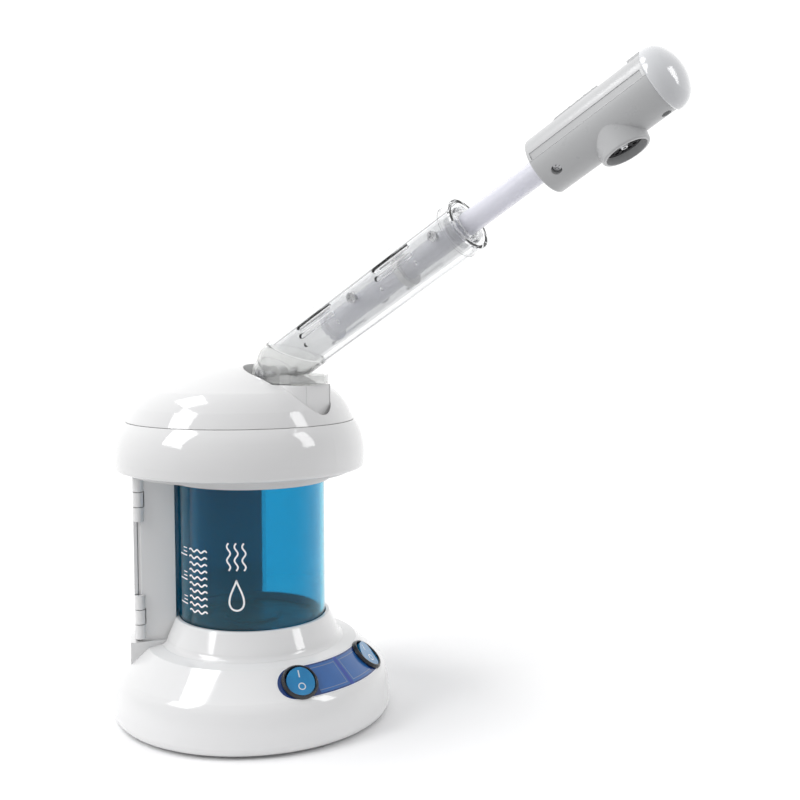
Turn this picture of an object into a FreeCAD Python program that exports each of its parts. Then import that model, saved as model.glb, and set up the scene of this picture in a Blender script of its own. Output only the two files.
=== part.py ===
import FreeCAD, Part
import math
import os

import Sketcher
from FreeCAD import Placement, Rotation, Vector

# Facial steamer with an extendable arm, in millimetres.
# Origin: in the middle of the underside of the base, on the axis of the water tank. +X points
# forward, along the arm and to the control panel, +Y points to the object's left, +Z points up.
# Heights in this file are measured from the soles of the feet; settle() lowers each finished piece
# so that the underside of the base lies at height zero.

SIZES = {
    # base
    "underside": 2.4,
    "foot_height": 2.0,
    "base_radius": 84.3,
    "base_wall": 2.5,
    "slope_low_radius": 79.5,
    "slope_low_height": 29.6,
    "slope_high_radius": 63.5,
    "slope_high_height": 43.6,
    "base_top_radius": 49.0,
    "base_top_height": 46.5,
    "plateau_radius": 74.0,
    "plateau_height": 47.5,
    # control panel and switches
    "switch_azimuth": 25.0,
    "panel_span": 35.5,
    "panel_thickness": 0.5,
    "cavity_radius": 9.0,
    "bezel_radius": 10.8,
    "barrel_radius": 9.4,
    "cap_radius": 8.4,
    "rocker_tilt": 8.0,
    # tank
    "tank_radius": 44.4,
    "tank_wall": 2.2,
    "tank_bottom": 54.5,
    "tank_top": 146.4,
    "collar_top": 60.6,
    "collar_radius": 47.6,
    # column
    "column_radius": 71.0,
    "column_bore": 46.8,
    "column_half_span": 54.0,
    "column_wall": 2.4,
    "column_top": 147.4,
    "knuckle_radius": 3.0,
    "hinge_radius": 68.0,
    # dome
    "dome_back": 8.6,
    "rim_bottom": 150.3,
    "rim_radius": 76.0,
    "rim_top": 179.3,
    "rim_top_radius": 70.0,
    "lid_radius": 69.2,
    "dome_wall": 2.2,
    # turret and arm
    "turret_top": 202.3,
    "turret_back": 21.0,
    "turret_front": 42.7,
    "turret_radius": 15.5,
    "turret_face": 53.8,
    "elbow_bottom": 203.0,
    "pivot_forward": 23.0,
    "pivot_height": 208.0,
    "pin_radius": 2.0,
    "running_gap": 0.06,
    "arm_height": 199.3,
    "arm_rise": 30.0,
    "tube_radius": 14.9,
    "tube_wall": 2.0,
    "tube_end": 180.0,
    "mitre_start": 43.5,
    "inner_radius": 6.2,
    "inner_low": 74.0,
    "head_radius": 15.1,
    "head_wall": 2.0,
    "head_low": 230.5,
    "head_high": 298.0,
    "outlet_station": 269.8,
    "outlet_radius": 12.0,
}


class Size:
    """A length that knows its number and its spreadsheet expression."""

    def __init__(self, value, text):
        self.value = float(value)
        self.text = text

    def __float__(self):
        return self.value

    def __add__(self, other):
        other = sized(other)
        return Size(self.value + other.value, f"({self.text} + {other.text})")

    def __sub__(self, other):
        other = sized(other)
        return Size(self.value - other.value, f"({self.text} - {other.text})")

    def __radd__(self, other):
        return sized(other) + self

    def __rsub__(self, other):
        return sized(other) - self

    def __mul__(self, number):
        return Size(self.value * number, f"({self.text} * {number})")

    def __neg__(self):
        return Size(-self.value, f"(-{self.text})")


def sized(value):
    """Turns a plain number into a Size."""
    if isinstance(value, Size):
        return value
    return Size(value, f"({float(value)})")


class Sheet:
    """The spreadsheet of driving dimensions; each alias reads as an attribute."""

    def __init__(self, doc):
        self.cells = doc.addObject("Spreadsheet::Sheet", "dims")
        for row, (alias, value) in enumerate(SIZES.items(), start=1):
            self.cells.set(f"A{row}", alias)
            self.cells.set(f"B{row}", str(value))
            self.cells.setAlias(f"B{row}", alias)
            setattr(self, alias, Size(value, f"dims.{alias}"))


doc = FreeCAD.newDocument("facial_steamer")
d = Sheet(doc)
doc.recompute()
parts = []


# ---------------------------------------------------------------- drawing helpers


def kept(label, obj):
    """Names a finished sub-part and puts it on the list of files to write."""
    obj.Label = label
    parts.append(obj)
    return obj


def bind(obj, **sizes):
    """Sets properties from sizes and ties them to the spreadsheet."""
    for name, size in sizes.items():
        size = sized(size)
        setattr(obj, name, size.value)
        obj.setExpression(name, size.text)
    return obj


def put(obj, x=0, y=0, z=0, turn=None):
    """Places an object, with its position tied to the spreadsheet."""
    x, y, z = sized(x), sized(y), sized(z)
    obj.Placement = Placement(Vector(x.value, y.value, z.value), turn or Rotation())
    for axis, size in (("x", x), ("y", y), ("z", z)):
        obj.setExpression(f"Placement.Base.{axis}", size.text)
    return obj


ALONG_X = Rotation(Vector(0, 1, 0), 90)
ALONG_Y = Rotation(Vector(1, 0, 0), -90)
FLIPPED = Rotation(Vector(1, 0, 0), 180)


def arm_turn():
    """Turns a piece drawn round a vertical axis so that its axis lies along the arm."""
    return Rotation(Vector(0, 1, 0), 90 - float(d.arm_rise))


def on_arm(obj):
    """Places a piece drawn in the arm's own frame: local Z runs up the arm, local X points down."""
    own = obj.Placement
    offset = arm_turn().multVec(own.Base)
    return put(obj, offset.x, offset.y, d.arm_height + offset.z, arm_turn() * own.Rotation)


def cylinder(radius, height, x=0, y=0, z=0, turn=None):
    obj = doc.addObject("Part::Cylinder", "cylinder")
    return put(bind(obj, Radius=radius, Height=height), x, y, z, turn)


def cone(low, high, height, x=0, y=0, z=0, turn=None):
    obj = doc.addObject("Part::Cone", "cone")
    return put(bind(obj, Radius1=low, Radius2=high, Height=height), x, y, z, turn)


def sphere(radius, x=0, y=0, z=0):
    return put(bind(doc.addObject("Part::Sphere", "ball"), Radius=radius), x, y, z)


def torus(ring, section, x=0, y=0, z=0, turn=None):
    obj = doc.addObject("Part::Torus", "torus")
    return put(bind(obj, Radius1=ring, Radius2=section), x, y, z, turn)


def box(length, width, height, x=0, y=0, z=0, turn=None):
    """A box whose corner nearest the origin is at x, y, z."""
    obj = doc.addObject("Part::Box", "box")
    return put(bind(obj, Length=length, Width=width, Height=height), x, y, z, turn)


def middle_box(length, width, height, x=0, y=0, z=0):
    """A box centred on x and y that stands on z."""
    return box(length, width, height, sized(x) - sized(length) * 0.5, sized(y) - sized(width) * 0.5, z)


def fuse(*shapes):
    if len(shapes) == 1:
        return shapes[0]
    obj = doc.addObject("Part::MultiFuse", "fuse")
    obj.Shapes = list(shapes)
    obj.Refine = True
    return obj


def cut(base, *tools):
    obj = doc.addObject("Part::Cut", "cut")
    obj.Base = base
    obj.Tool = fuse(*tools)
    return obj


def common(first, second):
    obj = doc.addObject("Part::MultiCommon", "common")
    obj.Shapes = [first, second]
    return obj


def group(*shapes):
    """Several separate solids that share one node."""
    obj = doc.addObject("Part::Compound", "group")
    obj.Links = list(shapes)
    return obj


def rounded(base, radius, chooser):
    """Rounds the edges of a finished shape that the chooser accepts."""
    doc.recompute()
    obj = doc.addObject("Part::Fillet", "rounded")
    obj.Base = base
    edges = [(i, radius, radius) for i, e in enumerate(base.Shape.Edges, start=1) if chooser(e)]
    obj.Edges = edges
    return obj


def origin_plane(body, role):
    return next(f for f in body.Origin.OriginFeatures if f.Role == role)


def arc_middle(start, end, radius):
    """Middle of the short arc from start to end; a positive radius bulges to the right of the way."""
    chord = end - start
    sag = math.sqrt(radius * radius - chord.Length * chord.Length / 4)
    side = Vector(-chord.y, chord.x, 0).normalize() * math.copysign(1, radius)
    return (start + end) * 0.5 + side * (sag - abs(radius))


def crown_radius(reach, rise):
    """Radius of a dome that is level on its axis and drops by rise at the given reach."""
    return (reach * reach + rise * rise) / (2 * rise)


def backwards(line):
    """The same open line walked the other way."""
    turned = []
    for index in range(len(line) - 1, -1, -1):
        corner = tuple(line[index][:2])
        if index > 0 and len(line[index - 1]) == 3:
            corner += (-line[index - 1][2],)
        turned.append(corner)
    return turned


def pin_vertex(sketch, index, place, point):
    """Ties one corner of an outline to the spreadsheet."""
    for name, axis, size in (("DistanceX", -2, point[0]), ("DistanceY", -1, point[1])):
        size = sized(size)
        if size.value == 0:
            sketch.addConstraint(Sketcher.Constraint("PointOnObject", index, place, axis))
            continue
        if size.value > 0:
            rule = Sketcher.Constraint(name, -1, 1, index, place, size.value)
        else:
            size = -size
            rule = Sketcher.Constraint(name, index, place, -1, 1, size.value)
        number = sketch.addConstraint(rule)
        sketch.setExpression(f"Constraints[{number}]", size.text)


def outline_sketch(body, outline, role="XZ_Plane"):
    """A closed outline of straight runs and arcs. A third number on a corner is the radius of the
    arc that leaves it; a positive one bulges to the right of the way there."""
    sketch = body.newObject("Sketcher::SketchObject", "outline")
    sketch.AttachmentSupport = [(origin_plane(body, role), "")]
    sketch.MapMode = "FlatFace"
    corners = [Vector(float(p[0]), float(p[1]), 0) for p in outline]
    arcs = []
    for index, start in enumerate(corners):
        end = corners[(index + 1) % len(corners)]
        if len(outline[index]) == 2:
            sketch.addGeometry(Part.LineSegment(start, end), False)
            arcs.append(None)
            continue
        radius = outline[index][2]
        middle = arc_middle(start, end, radius)
        if radius > 0:
            sketch.addGeometry(Part.Arc(start, middle, end), False)
            arcs.append((1, 2))
        else:
            sketch.addGeometry(Part.Arc(end, middle, start), False)
            arcs.append((2, 1))
    for index in range(len(corners)):
        following = (index + 1) % len(corners)
        leaves = (arcs[index] or (1, 2))[1]
        enters = (arcs[following] or (1, 2))[0]
        rule = Sketcher.Constraint("Coincident", index, leaves, following, enters)
        sketch.addConstraint(rule)
    for index in range(len(corners)):
        pin_vertex(sketch, index, (arcs[index] or (1, 2))[0], outline[index])
        if arcs[index]:
            radius = abs(outline[index][2])
            sketch.addConstraint(Sketcher.Constraint("Radius", index, radius))
    return sketch


def revolved(outline, angle=360.0, start=0.0):
    """A PartDesign body turned about the vertical axis from an outline in radius and height."""
    body = doc.addObject("PartDesign::Body", "body")
    feature = body.newObject("PartDesign::Revolution", "turned")
    feature.Profile = outline_sketch(body, outline)
    feature.ReferenceAxis = (feature.Profile[0], ["V_Axis"])
    feature.Angle = angle
    body.Tip = feature
    body.Placement = Placement(Vector(), Rotation(Vector(0, 0, 1), start))
    return body


def padded(outline, low, height):
    """A PartDesign body pushed straight up from a plan outline."""
    body = doc.addObject("PartDesign::Body", "body")
    sketch = outline_sketch(body, outline, "XY_Plane")
    feature = body.newObject("PartDesign::Pad", "pushed")
    feature.Profile = sketch
    bind(feature, Length=height)
    body.Tip = feature
    return put(body, 0, 0, low)


def ring_outline(inner, outer, low, high):
    return [(inner, low), (outer, low), (outer, high), (inner, high)]


def ring(inner, outer, low, high):
    return revolved(ring_outline(inner, outer, low, high))


def sector(radius, half_span, low, height, middle=180.0):
    """A wedge of a disc about the tank's axis, centred on the middle azimuth."""
    obj = cylinder(radius, height, z=low, turn=Rotation(Vector(0, 0, 1), middle - float(half_span)))
    return bind(obj, Angle=half_span * 2)


def polar(radius, azimuth):
    angle = math.radians(azimuth)
    return float(radius) * math.cos(angle), float(radius) * math.sin(angle)


# ---------------------------------------------------------------- base


def base_profile(inset):
    """Outer line of the base, moved inwards by inset."""
    lower = d.base_radius - inset
    slope = inset * 0.75
    return [
        (lower - 2.2, d.foot_height, 5.0),
        (lower, 6.5, 60.0),
        (82.0 - inset, 25.0, 12.0),
        (d.slope_low_radius - slope, d.slope_low_height - slope),
        (d.slope_high_radius - slope, d.slope_high_height - slope),
        (d.base_top_radius, d.base_top_height - inset),
    ]


def switch_turn(azimuth):
    """Turns a piece drawn upright so that it stands square on the front slope."""
    run = float(d.slope_low_radius) - float(d.slope_high_radius)
    fall = float(d.slope_high_height) - float(d.slope_low_height)
    lean = math.degrees(math.atan2(fall, run))
    return Rotation(Vector(0, 0, 1), azimuth) * Rotation(Vector(0, 1, 0), lean)


def switch_seat(azimuth):
    """The middle of the front slope at an azimuth."""
    radius = (float(d.slope_low_radius) + float(d.slope_high_radius)) / 2
    height = (float(d.slope_low_height) + float(d.slope_high_height)) / 2
    x, y = polar(radius, azimuth)
    return Vector(x, y, height)


def on_slope(obj, azimuth):
    seat = switch_seat(azimuth)
    return put(obj, seat.x, seat.y, seat.z, switch_turn(azimuth))


SWITCH_SIDES = {"power": -1, "ozone": 1}


def panel_band(low, high):
    """The slope's outer skin between two depths, for the overlay and its recess."""
    margin = 0.2
    steps = [(d.slope_low_radius, d.slope_low_height), (d.slope_high_radius, d.slope_high_height)]
    (r_low, z_low), (r_high, z_high) = steps
    outline = [
        (r_low - margin + low * 0.66, z_low + margin * 0.875 + low * 0.75),
        (r_low - margin + high * 0.66, z_low + margin * 0.875 + high * 0.75),
        (r_high + margin + high * 0.66, z_high - margin * 0.875 + high * 0.75),
        (r_high + margin + low * 0.66, z_high - margin * 0.875 + low * 0.75),
    ]
    span = float(d.panel_span)
    band = revolved(outline, 2 * span + 4.0, -span - 2.0)
    plan = [sector(100.0, span - 8.0, 20.0, 40.0, 0.0)]
    for side in SWITCH_SIDES.values():
        azimuth = side * (span - 8.0)
        seat = switch_seat(azimuth) - switch_turn(azimuth).multVec(Vector(0, 0, 8.0))
        plan.append(cylinder(10.4, 16.0, seat.x, seat.y, seat.z, switch_turn(azimuth)))
    return common(band, fuse(*plan))


def base_shell():
    outside = base_profile(0.0)
    inside = base_profile(d.base_wall.value)
    skin = revolved(outside + backwards(inside))
    pad = cut(
        sector(d.plateau_radius, d.column_half_span + 2.0, 34.0, d.plateau_height - 34.0),
        cylinder(d.base_top_radius, 20.0, z=30.0),
        sector(71.4, d.column_half_span - 0.2, 30.0, 15.0),
    )
    holes = []
    for side in SWITCH_SIDES.values():
        azimuth = side * d.switch_azimuth.value
        seat = switch_seat(azimuth) - switch_turn(azimuth).multVec(Vector(0, 0, 8.0))
        holes.append(cylinder(d.barrel_radius + 0.2, 14.0, seat.x, seat.y, seat.z, switch_turn(azimuth)))
    inlet = fuse(
        middle_box(20.0, 20.4, 12.4, -82.0, 0, 9.8),
        middle_box(6.0, 24.4, 16.4, -85.4, 0, 7.8),
    )
    wires = cylinder(4.4, 30.0, -60.0, 0, 30.0)
    recess = panel_band(-0.35, 3.0)
    kept("base_shell", cut(fuse(skin, pad), collar_body(), inlet, wires, recess, *holes))


def bottom_cover():
    plate = cylinder(79.3, 2.4, z=d.foot_height + 0.4)
    vents = []
    for row in range(-3, 4):
        vents.append(middle_box(26.0, 2.4, 6.0, 18.0, row * 6.0, 0.5))
    screws = [cylinder(1.7, 8.0, *polar(70.0, a), 0.5) for a in COVER_SCREWS]
    sinks = [cylinder(3.4, 2.2, *polar(70.0, a), d.underside - 0.5) for a in COVER_SCREWS]
    feet = [cylinder(7.6, 1.4, *polar(66.0, a), d.foot_height - 0.1) for a in FOOT_AZIMUTHS]
    kept("bottom_cover", cut(plate, *vents, *screws, *sinks, *feet))


FOOT_AZIMUTHS = (45, 135, 225, 315)
COVER_SCREWS = (0, 90, 180, 270)


def rubber_feet():
    feet = []
    for azimuth in FOOT_AZIMUTHS:
        x, y = polar(66.0, azimuth)
        feet.append(fuse(cone(6.4, 7.4, 2.0, x, y, 0), cylinder(7.4, 1.3, x, y, 2.0)))
    kept("rubber_feet", group(*feet))


def pan_screw(head, shank, length, x, y, z, turn=None):
    """A cross-head screw: its head's underside is at the given point, its shank runs to -Z."""
    turn = turn or Rotation()
    down = turn.multVec(Vector(0, 0, -length))
    top = turn.multVec(Vector(0, 0, 0.9))
    body = cylinder(shank, length, x + down.x, y + down.y, z + down.z, turn)
    cap = cylinder(head, 1.6, x, y, z, turn)
    slots = []
    for angle in (0, 90):
        slot = box(head * 1.3, 0.8, 1.2)
        spin = turn * Rotation(Vector(0, 0, 1), angle)
        corner = spin.multVec(Vector(-head * 0.65, -0.4, 0))
        put(slot, x + corner.x + top.x, y + corner.y + top.y, z + corner.z + top.z, spin)
        slots.append(slot)
    return cut(fuse(body, cap), *slots)


def bottom_screws():
    screws = []
    for azimuth in COVER_SCREWS:
        x, y = polar(70.0, azimuth)
        screws.append(pan_screw(3.0, 1.5, 4.4, x, y, d.underside + 1.7, FLIPPED))
    kept("bottom_screws", group(*screws))


def collar_body():
    """Ring round the foot of the tank, open behind for the column."""
    flare = 56.5
    outline = [
        (44.9, d.collar_top),
        (d.collar_radius - 0.8, d.collar_top),
        (d.collar_radius, d.collar_top - 0.9),
        (52.6, 48.6, 5.0),
        (flare, 44.93),
        (d.base_top_radius, d.base_top_height),
        (d.base_top_radius, 49.8),
        (38.0, 49.8),
        (38.0, 52.3),
        (44.9, 52.3),
    ]
    ring_body = revolved(outline)
    column_gap = cut(
        sector(80.0, d.column_half_span + 2.3, 40.0, 30.0),
        cylinder(d.column_bore, 60.0, z=20.0),
    )
    return cut(ring_body, column_gap)


def tank_collar():
    kept("tank_collar", collar_body())


def boiler():
    """Seal, plate, heater and safety parts under the tank."""
    kept("tank_foot_seal", ring(39.0, 44.2, 52.3, d.tank_bottom))
    plate = revolved([
        (0.0, d.tank_bottom),
        (42.0, d.tank_bottom),
        (42.0, d.tank_bottom + 1.6),
        (38.0, d.tank_bottom + 1.6),
        (36.5, d.tank_bottom + 2.6),
        (18.0, d.tank_bottom + 3.0),
        (16.5, d.tank_bottom + 4.2),
        (0.0, d.tank_bottom + 4.8),
    ])
    kept("heating_plate", plate)
    kept("heating_element", torus(26.0, 3.4, z=d.tank_bottom - 3.4))
    flange = middle_box(26.0, 8.0, 0.8, 0, 0, d.tank_bottom - 0.8)
    body = cylinder(8.0, 8.0, z=d.tank_bottom - 8.8)
    kept("thermostat", fuse(flange, body))
    barrel = cylinder(2.2, 14.0, -7.0, 12.0, 49.2, ALONG_X)
    leads = cylinder(0.5, 24.0, -12.0, 12.0, 49.2, ALONG_X)
    clip = middle_box(8.0, 6.0, 4.0, 0, 12.0, d.tank_bottom - 4.1)
    kept("thermal_fuse", fuse(barrel, leads, clip))


def tank():
    wall = d.tank_radius - d.tank_wall
    kept("tank", revolved([
        (wall, d.tank_bottom),
        (d.tank_radius, d.tank_bottom),
        (d.tank_radius, d.tank_top - 0.6),
        (d.tank_radius - 0.6, d.tank_top),
        (wall + 0.6, d.tank_top),
        (wall, d.tank_top - 0.6),
    ]))
    kept("tank_mouth_seal", ring(41.0, 44.4, d.tank_top, 147.6))


def electronics():
    board = middle_box(56.0, 60.0, 1.6, -18.0, 0, 12.0)
    chips = [
        middle_box(10.0, 10.0, 3.0, -10.0, 12.0, 13.6),
        middle_box(16.0, 12.0, 10.0, -30.0, -14.0, 13.6),
        cylinder(5.0, 16.0, -8.0, -16.0, 13.6),
        cylinder(3.5, 11.0, -34.0, 16.0, 13.6),
    ]
    posts = [cylinder(2.5, 7.2, -18.0 + i * 24.0, j * 26.0, 4.8) for i in (-1, 1) for j in (-1, 1)]
    kept("control_board", fuse(board, *chips, *posts))
    core = middle_box(30.0, 26.0, 24.0, 26.0, 0, 4.8)
    coil = middle_box(18.0, 34.0, 18.0, 26.0, 0, 7.8)
    kept("ozone_driver", fuse(core, coil))


def power_inlet():
    """Figure-eight mains inlet in the back of the base."""
    body = middle_box(19.0, 20.0, 12.0, -73.0, 0, 10.0)
    flange = middle_box(1.6, 24.0, 16.0, -83.3, 0, 8.0)
    mouth = [cylinder(3.6, 13.0, -85.2, side * 4.0, 16.0, ALONG_X) for side in (-1, 1)]
    bridge = middle_box(26.0, 8.0, 5.4, -85.2, 0, 13.3)
    pins = [cylinder(1.15, 10.0, -80.0, side * 4.3, 16.0, ALONG_X) for side in (-1, 1)]
    sockets = [cylinder(1.15, 10.0, -80.0, side * 4.3, 16.0, ALONG_X) for side in (-1, 1)]
    kept("power_inlet", cut(fuse(body, flange), *mouth, bridge, *sockets))
    kept("inlet_pins", group(*pins))


def control_panel():
    band = panel_band(-0.35, d.panel_thickness.value - 0.35)
    holes = []
    for side in SWITCH_SIDES.values():
        azimuth = side * d.switch_azimuth.value
        seat = switch_seat(azimuth) - switch_turn(azimuth).multVec(Vector(0, 0, 8.0))
        holes.append(cylinder(d.barrel_radius + 0.1, 14.0, seat.x, seat.y, seat.z, switch_turn(azimuth)))
    kept("control_panel", cut(band, *holes))


def switch_body(name, azimuth):
    """Round rocker switch: bezel, barrel, cavity for the cap and two terminals."""
    bezel = revolved([
        (d.cavity_radius, 0.2),
        (d.bezel_radius, 0.2),
        (d.bezel_radius, 0.9),
        (d.bezel_radius - 0.9, 2.2),
        (d.cavity_radius + 0.3, 2.2),
        (d.cavity_radius, 1.6),
    ])
    barrel = cylinder(d.barrel_radius, 13.0, z=-12.4)
    cavity = cylinder(d.cavity_radius, 12.0, z=-6.2)
    trunnion = cylinder(1.3, 18.6, 0, -9.3, -2.0, ALONG_Y)
    tabs = [middle_box(0.8, 4.8, 6.0, side * 4.0, 0, -18.0) for side in (-1, 1)]
    on_slope(kept(name, cut(fuse(bezel, barrel, *tabs), cavity, trunnion)), azimuth)


def rocker(name, azimuth):
    """Rocker cap with a shallow hollow across its top; it rests with its low side pressed."""
    disc = cylinder(d.cap_radius, 7.6, z=-4.4)
    hollow = cylinder(34.0, 40.0, 0, -20.0, 35.6, ALONG_Y)
    trunnion = cylinder(1.24, 18.4, 0, -9.2, -2.0, ALONG_Y)
    cap = fuse(cut(disc, hollow), trunnion)
    seat = switch_seat(azimuth)
    turn = switch_turn(azimuth)
    lean = turn * Rotation(Vector(0, 1, 0), d.rocker_tilt.value)
    pivot = Vector(0, 0, -2.0)
    place = seat + turn.multVec(pivot) - lean.multVec(pivot)
    put(kept(name, cap), place.x, place.y, place.z, lean)


# ---------------------------------------------------------------- column

DOOR_LOW = 48.2
KNUCKLE_STRIPS = ((49.0, 76.0), (120.0, 147.0))


def hinge_point():
    return polar(d.hinge_radius, 180.0 + float(d.column_half_span))


def knuckles(outer_ones):
    """Barrels of the two hinges: the frame has the outer ones, the door has the middle ones."""
    x, y = hinge_point()
    barrels = []
    for low, high in KNUCKLE_STRIPS:
        third = (high - low) / 3
        steps = (0, 2) if outer_ones else (1,)
        for step in steps:
            start = low + step * third + 0.25
            barrels.append((x, y, start, third - 0.5))
    return barrels


def hinge_clearance(outer_ones):
    return [
        cylinder(d.knuckle_radius + 0.5, height + 0.9, x, y, low - 0.45)
        for x, y, low, height in knuckles(outer_ones)
    ]


def knuckle_bodies(outer_ones):
    return [
        cylinder(d.knuckle_radius, height, x, y, low)
        for x, y, low, height in knuckles(outer_ones)
    ]


HUB_RADIUS = 47.5
HUB_LOW = 143.2


def column_frame():
    height = d.column_top - d.plateau_height
    whole = sector(d.column_radius - 2.5, d.column_half_span, d.plateau_height, height)
    wall = d.column_bore + d.column_wall
    span = d.column_half_span - 2.4
    inside = cut(
        sector(90.0, span, d.plateau_height + 2.4, height - 4.8),
        cylinder(wall, 120.0, z=40.0),
    )
    bore = fuse(cylinder(d.column_bore, 120.0, z=40.0), cylinder(HUB_RADIUS, 20.0, z=HUB_LOW))
    x, y = hinge_point()
    inward = Rotation(Vector(0, 0, 1), float(d.column_half_span))
    lugs = []
    for kx, ky, low, tall in knuckles(True):
        lugs.append(cylinder(d.knuckle_radius, tall, kx, ky, low))
    pins = cylinder(1.2, 110.0, x, y, 44.0)
    wires = cylinder(4.0, 130.0, -60.0, 0, 30.0)
    catch = box(2.0, 6.0, 8.0, *polar(66.2, 126.0), 92.0, inward)
    frame = cut(whole, inside, bore, wires, *hinge_clearance(False))
    kept("column_frame", cut(fuse(frame, *lugs), pins, catch))


def column_door():
    low = DOOR_LOW
    height = d.column_top - 0.6 - low
    shell = cut(
        sector(d.column_radius, d.column_half_span - 0.4, low, height),
        cylinder(d.column_radius - 2.2, 120.0, z=40.0),
    )
    ribs = []
    for step in range(5):
        ribs.append(sector(d.column_radius + 0.6, 18.0, 80.0 + step * 6.0, 2.0))
    rib_band = cut(fuse(*ribs), cylinder(d.column_radius - 1.0, 120.0, z=40.0))
    x, y = hinge_point()
    bodies = knuckle_bodies(False)
    webs = []
    for kx, ky, start, tall in knuckles(False):
        webs.append(sector(d.column_radius, 3.0, start, tall, 229.5))
    web_ring = cut(fuse(*webs), cylinder(d.column_radius - 2.2, 120.0, z=40.0))
    pins = cylinder(1.2 + float(d.running_gap), 110.0, x, y, 44.0)
    panel = cut(shell, *hinge_clearance(True))
    kept("column_door", cut(fuse(panel, rib_band, web_ring, *bodies), pins))


def door_hinge_pins():
    x, y = hinge_point()
    pins = [cylinder(1.2, high - low - 0.6, x, y, low + 0.3) for low, high in KNUCKLE_STRIPS]
    kept("door_hinge_pins", group(*pins))


def lamp_wire_sleeve():
    kept("lamp_wire_sleeve", cylinder(3.2, 124.0, -60.0, 0, 30.0))


# ---------------------------------------------------------------- dome


def dome_place(body):
    """Moves a piece turned about the dome's own axis to its place behind the tank's axis."""
    return put(body, -d.dome_back, 0, 0, body.Placement.Rotation)


HOOD_RADIUS = 52.6
HOOD_LOW = 159.0
LAMP_HEIGHT = 155.0
LAMP_LEGS = (-4.0, 4.0)


def under_plate():
    plate = dome_place(ring(0.0, 67.0, 147.6, d.rim_bottom))
    hub = ring(44.8, HUB_RADIUS, HUB_LOW, 148.0)
    upstand = ring(HOOD_RADIUS - 1.6, HOOD_RADIUS, d.rim_bottom - 0.2, HOOD_LOW - 0.2)
    mouth = cylinder(40.0, 20.0, z=140.0)
    wires = cylinder(4.0, 20.0, -60.0, 0, 140.0)
    lamp_holes = [cylinder(2.4, 10.0, -56.0, y, LAMP_HEIGHT, ALONG_X) for y in LAMP_LEGS]
    kept("under_plate", cut(fuse(plate, hub, upstand), mouth, wires, *lamp_holes))


def dome_rim():
    wall = d.dome_wall.value
    outline = [
        (62.0, d.rim_bottom),
        (74.0, d.rim_bottom, 2.0),
        (75.7, 152.2),
        (d.rim_radius, 157.0, 40.0),
        (74.6, 169.0, 30.0),
        (d.rim_top_radius, d.rim_top),
        (d.rim_top_radius - wall, d.rim_top),
        (74.6 - wall, 168.0),
        (d.rim_radius - wall, 157.0),
        (75.0 - wall, d.rim_bottom + 2.4),
        (62.0, d.rim_bottom + 2.4),
    ]
    kept("dome_rim", dome_place(revolved(outline)))


def turret_plan(radius, height, low):
    """An upright pillar with rounded back and front."""
    back = cylinder(radius, height, d.turret_back, 0, low)
    front = cylinder(radius, height, d.turret_front, 0, low)
    middle = middle_box(
        d.turret_front - d.turret_back, sized(radius) * 2, height,
        (d.turret_front + d.turret_back) * 0.5, 0, low,
    )
    return fuse(back, middle, front)


TURRET_LOW = 181.2
SEAT_RADIUS = 19.5
SEAT_HEIGHT = 202.0
CROWN_REACH = 56.6
CROWN_FOOT = 198.2
CROWN_TOP = 213.6


def lid_profile(inset):
    """Outer line of the lid from its edge to its top, moved inwards by inset."""
    shoulder = CROWN_REACH - inset * 0.7
    rise = CROWN_TOP - CROWN_FOOT - inset * 0.3
    return [
        (d.lid_radius - inset, 179.5, 60.0 - inset),
        (65.6 - inset * 0.92, 188.0 - inset * 0.4, 34.0 - inset),
        (shoulder, CROWN_FOOT - inset * 0.7, crown_radius(shoulder, rise)),
        (0.0, CROWN_TOP - inset),
    ]


def dome_lid():
    wall = d.dome_wall.value
    shell = dome_place(revolved(lid_profile(0.0) + backwards(lid_profile(wall))))
    spigot = dome_place(ring(d.lid_radius - wall - 1.4, d.lid_radius - wall, 176.8, 181.0))
    tray = common(turret_plan(SEAT_RADIUS + 2.0, 20.0, SEAT_HEIGHT - 2.2), lid_crown())
    seat = turret_plan(SEAT_RADIUS, 30.0, SEAT_HEIGHT)
    opening = turret_plan(d.turret_radius + 0.15, 60.0, TURRET_LOW - 0.1)
    kept("dome_lid", cut(fuse(shell, spigot, tray), seat, opening))
    band = d.lid_radius - wall
    kept("lid_seal", dome_place(ring(band, band + 0.6, 177.2, 178.8)))


def turret():
    low = TURRET_LOW
    outer = turret_plan(d.turret_radius, d.turret_top - low, low)
    bore = cut(
        turret_plan(d.turret_radius - 2.2, 60.0, low - 1.0),
        box(10.0, 40.0, 80.0, d.turret_face - 2.2, -20.0, low - 5.0),
    )
    facet = fuse(
        box(10.0, 20.8, 30.0, d.turret_face, -10.4, 187.5),
        box(10.0, 14.8, 3.1, d.turret_face, -7.4, 184.5),
        cylinder(3.0, 10.0, d.turret_face, -7.4, 187.5, ALONG_X),
        cylinder(3.0, 10.0, d.turret_face, 7.4, 187.5, ALONG_X),
    )
    swing = cylinder(18.9, 40.0, d.pivot_forward, -20.0, d.pivot_height, ALONG_Y)
    back_cut = common(swing, box(26.0, 40.0, 40.0, 2.0, -20.0, 180.0))
    walls = cut(outer, bore, facet, back_cut)
    floor = cut(
        turret_plan(d.turret_radius - 2.0, 2.0, low),
        cylinder(DUCT_RADIUS + 0.1, 30.0, DUCT_FORWARD, 0, 170.0),
    )
    lug = fuse(
        middle_box(10.0, 8.0, d.pivot_height - low, d.pivot_forward, 0, low),
        cylinder(5.0, 8.0, d.pivot_forward, -4.0, d.pivot_height, ALONG_Y),
    )
    hole = cylinder(d.pin_radius + d.running_gap, 30.0, d.pivot_forward, -15.0, d.pivot_height, ALONG_Y)
    kept("turret", cut(fuse(walls, floor, lug), hole))


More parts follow.
